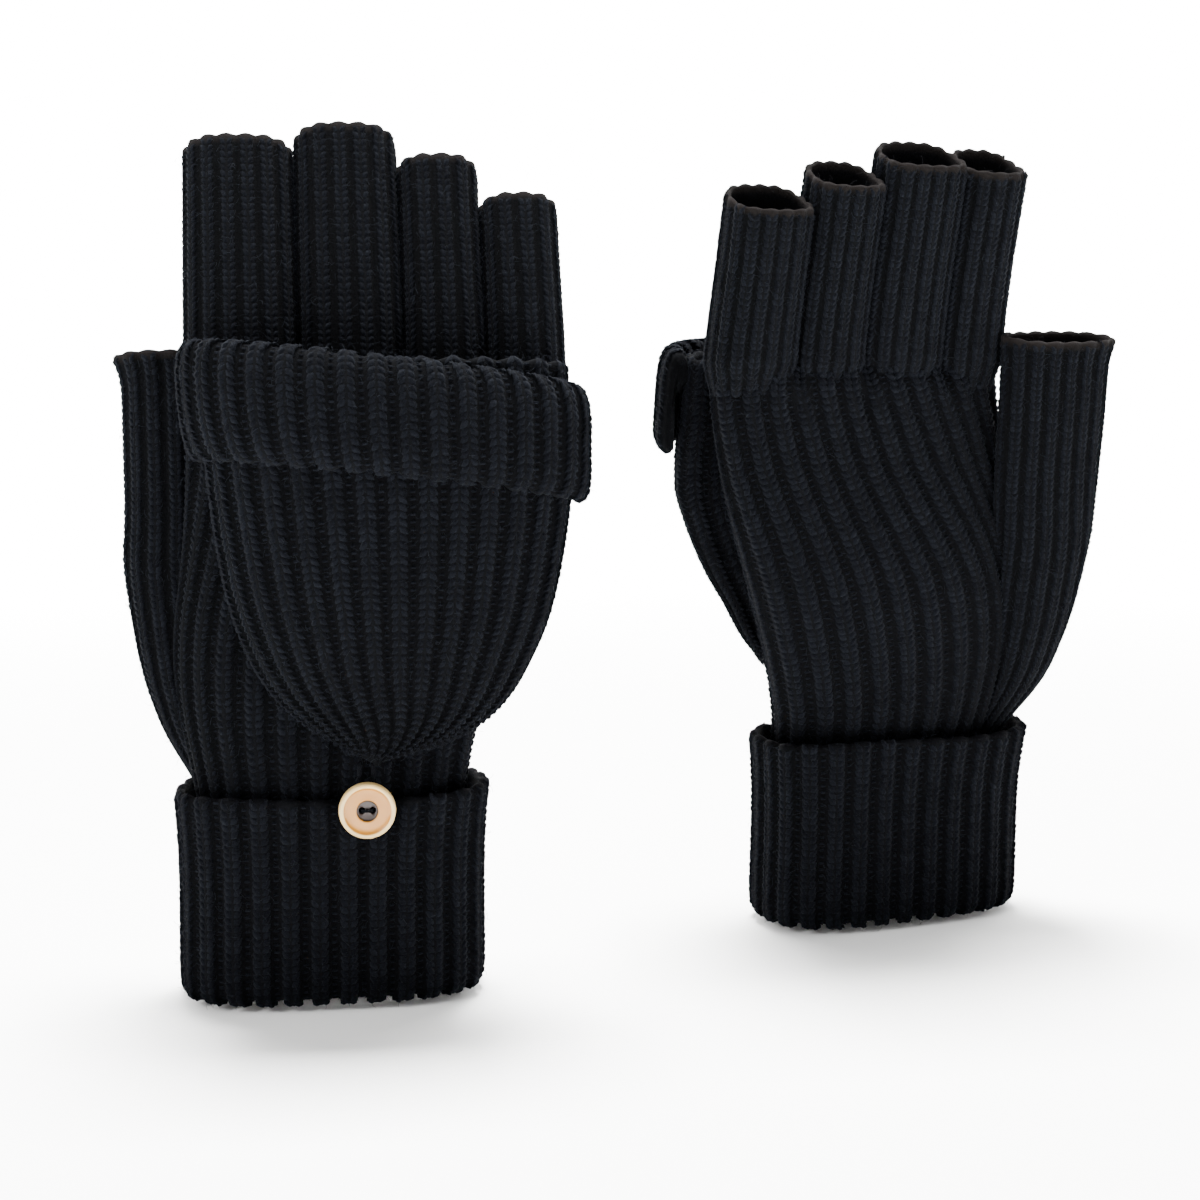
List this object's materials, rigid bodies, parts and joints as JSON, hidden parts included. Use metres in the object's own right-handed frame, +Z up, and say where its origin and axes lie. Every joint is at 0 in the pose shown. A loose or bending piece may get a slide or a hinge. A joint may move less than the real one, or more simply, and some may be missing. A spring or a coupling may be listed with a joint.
{
  "type": "convertible flip-top mittens",
  "caption": "Pair of black ribbed-knit convertible mittens: open finger tubes, a fold-back hood looped to a cuff button, turned-up cuffs.",
  "frame": {"origin": "middle of the pair's footprint, on the surface the cuffs stand on", "axes": "+X across the pair, from the front-left mitten to the rear-right one; +Y away from the viewer; +Z up from the cuffs to the finger tubes"},
  "size_m": [0.2699, 0.1367, 0.2177],
  "materials": {
    "body_knit": "ribbed wool-blend knit, fuzzy, near black",
    "finger_knit": "finer rib knit, fuzzy, near black",
    "hood_knit": "ribbed wool-blend knit, fuzzy, near black",
    "yarn": "black sewing yarn",
    "button_resin": "polished golden yellow resin with a cream rim"
  },
  "bodies": {
    "front_mitten": {"front_hand": "body_knit", "front_gusset": "body_knit", "front_cuff_lining": "body_knit", "front_cuff": "body_knit", "front_index": "finger_knit", "front_middle": "finger_knit", "front_ring": "finger_knit", "front_little": "finger_knit", "front_seam": "yarn", "front_thread": "yarn"},
    "front_thumb_part": {"front_thumb": "finger_knit"},
    "front_hood": {"front_hood_back": "hood_knit", "front_hood_pouch": "hood_knit", "front_hood_brim": "hood_knit", "front_loop": "yarn"},
    "front_button_part": {"front_button": "button_resin"},
    "rear_mitten": {"rear_hand": "body_knit", "rear_gusset": "body_knit", "rear_cuff_lining": "body_knit", "rear_cuff": "body_knit", "rear_index": "finger_knit", "rear_middle": "finger_knit", "rear_ring": "finger_knit", "rear_little": "finger_knit", "rear_seam": "yarn", "rear_thread": "yarn"},
    "rear_thumb_part": {"rear_thumb": "finger_knit"},
    "rear_hood": {"rear_hood_back": "hood_knit", "rear_hood_pouch": "hood_knit", "rear_hood_brim": "hood_knit", "rear_loop": "yarn"},
    "rear_button_part": {"rear_button": "button_resin"}
  },
  "joints": [
    {"name": "front_hood_flip", "type": "hinge", "parent": "front_mitten", "child": "front_hood", "pos_m": [-0.06303, -0.03617, 0.157], "axis": [-0.9903, -0.1392, 0], "range_deg": [0, 189], "deforming": ["front_hood_pouch", "front_hood_brim", "front_loop"]},
    {"name": "front_thumb_spread", "type": "hinge", "parent": "front_mitten", "child": "front_thumb_part", "pos_m": [-0.12074, -0.02075, 0.118], "axis": [0.1392, -0.9903, 0], "range_deg": [-4, 24], "deforming": ["front_thumb"]},
    {"name": "front_button_turn", "type": "hinge", "parent": "front_mitten", "child": "front_button_part", "pos_m": [-0.06334, -0.05409, 0.052], "axis": [0.1392, -0.9903, 0], "range_deg": [-8, 8]},
    {"name": "rear_hood_flip", "type": "hinge", "parent": "rear_mitten", "child": "rear_hood", "pos_m": [0.06099, 0.03021, 0.157], "axis": [0.9272, 0.3746, 0], "range_deg": [0, 189], "deforming": ["rear_hood_pouch", "rear_hood_brim", "rear_loop"]},
    {"name": "rear_thumb_spread", "type": "hinge", "parent": "rear_mitten", "child": "rear_thumb_part", "pos_m": [0.12072, 0.02921, 0.118], "axis": [-0.3746, 0.9272, 0], "range_deg": [-4, 24], "deforming": ["rear_thumb"]},
    {"name": "rear_button_turn", "type": "hinge", "parent": "rear_mitten", "child": "rear_button_part", "pos_m": [0.05696, 0.04767, 0.052], "axis": [-0.3746, 0.9272, 0], "range_deg": [-8, 8]},
    {"name": "pair_apart", "type": "slide", "parent": "front_mitten", "child": "rear_mitten", "axis": [1, 0, 0], "range_m": [0, 0.15]}
  ]
}
